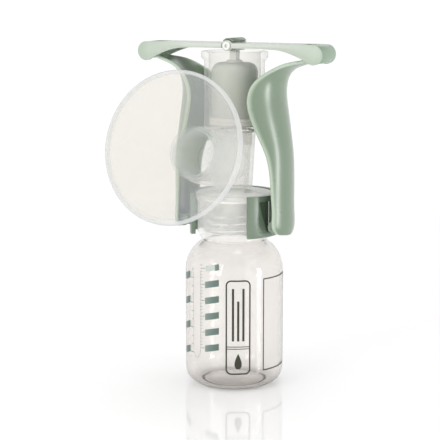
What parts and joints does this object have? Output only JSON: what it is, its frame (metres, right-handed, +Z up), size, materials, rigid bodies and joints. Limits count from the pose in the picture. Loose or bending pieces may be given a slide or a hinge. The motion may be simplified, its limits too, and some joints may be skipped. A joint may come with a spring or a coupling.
{
  "type": "manual breast pump",
  "caption": "Manual breast pump: tilted clear funnel on a clear body over a small milk bottle, with squeeze handles and folding link arms that lift a piston.",
  "frame": {"origin": "centre of the bottle's resting base", "axes": "+Z up the bottle and barrel axis, +X towards the right handle, the breast flange faces -Y"},
  "size_m": [0.1136, 0.1067, 0.1945],
  "materials": {
    "bottle_pp": "clear moulded polypropylene, smooth",
    "body_pp": "clear moulded polypropylene, slightly cloudy",
    "flange_pp": "clear moulded polypropylene, smooth",
    "barrel_pp": "clear moulded polypropylene, smooth",
    "piston_plastic": "pale grey-green moulded plastic, satin",
    "green_plastic": "sage green moulded plastic, satin gloss",
    "arm_plastic": "pale sage moulded plastic, satin gloss",
    "pin_plastic": "white moulded plastic, smooth",
    "silicone": "translucent white silicone, soft sheen",
    "spring_steel": "bright wire"
  },
  "bodies": {
    "stand": {"bottle": "bottle_pp", "bottle_gasket": "silicone", "pump_body": "body_pp", "duckbill_valve": "silicone", "breast_flange": "flange_pp", "barrel": "barrel_pp", "barrel_gasket": "silicone", "clip_band": "green_plastic", "base_pin_right": "pin_plastic", "base_pin_left": "pin_plastic", "return_spring_right": "spring_steel", "return_spring_left": "spring_steel"},
    "handle_right": {"handle_right": "green_plastic", "link_pin_right": "pin_plastic"},
    "handle_left": {"handle_left": "green_plastic", "link_pin_left": "pin_plastic"},
    "piston": {"piston": "piston_plastic", "piston_seal": "silicone", "piston_rod": "piston_plastic", "centre_pin": "pin_plastic", "hinge_cap": "green_plastic"},
    "arm_right": {"arm_right": "arm_plastic"},
    "arm_left": {"arm_left": "arm_plastic"}
  },
  "joints": [
    {"name": "right_handle_squeeze", "type": "hinge", "parent": "stand", "child": "handle_right", "pos_m": [0.0285, 0, 0.09201], "axis": [0, -1, 0], "range_deg": [0, 6], "stiffness_Nm_per_rad": 1.2, "springref_deg": -6.88},
    {"name": "left_handle_squeeze", "type": "hinge", "parent": "stand", "child": "handle_left", "pos_m": [-0.0285, 0, 0.09201], "axis": [0, 1, 0], "range_deg": [0, 6.01]},
    {"name": "piston_lift", "type": "slide", "parent": "stand", "child": "piston", "axis": [0, 0, 1], "range_m": [0, 0.03142]},
    {"name": "right_arm_fold", "type": "hinge", "parent": "piston", "child": "arm_right", "pos_m": [0, 0, 0.19032], "axis": [0, 1, 0], "range_deg": [0, 34.55]},
    {"name": "left_arm_fold", "type": "hinge", "parent": "piston", "child": "arm_left", "pos_m": [0, 0, 0.19032], "axis": [0, -1, 0], "range_deg": [0, 34.55]}
  ],
  "couplings": [
    {"joint": "left_handle_squeeze", "follows": "right_handle_squeeze", "ratio": 1},
    {"joint": "piston_lift", "follows": "right_handle_squeeze", "m_per_rad": 0.29982},
    {"joint": "right_arm_fold", "follows": "right_handle_squeeze", "ratio": 5.7565},
    {"joint": "left_arm_fold", "follows": "right_handle_squeeze", "ratio": 5.7565}
  ]
}
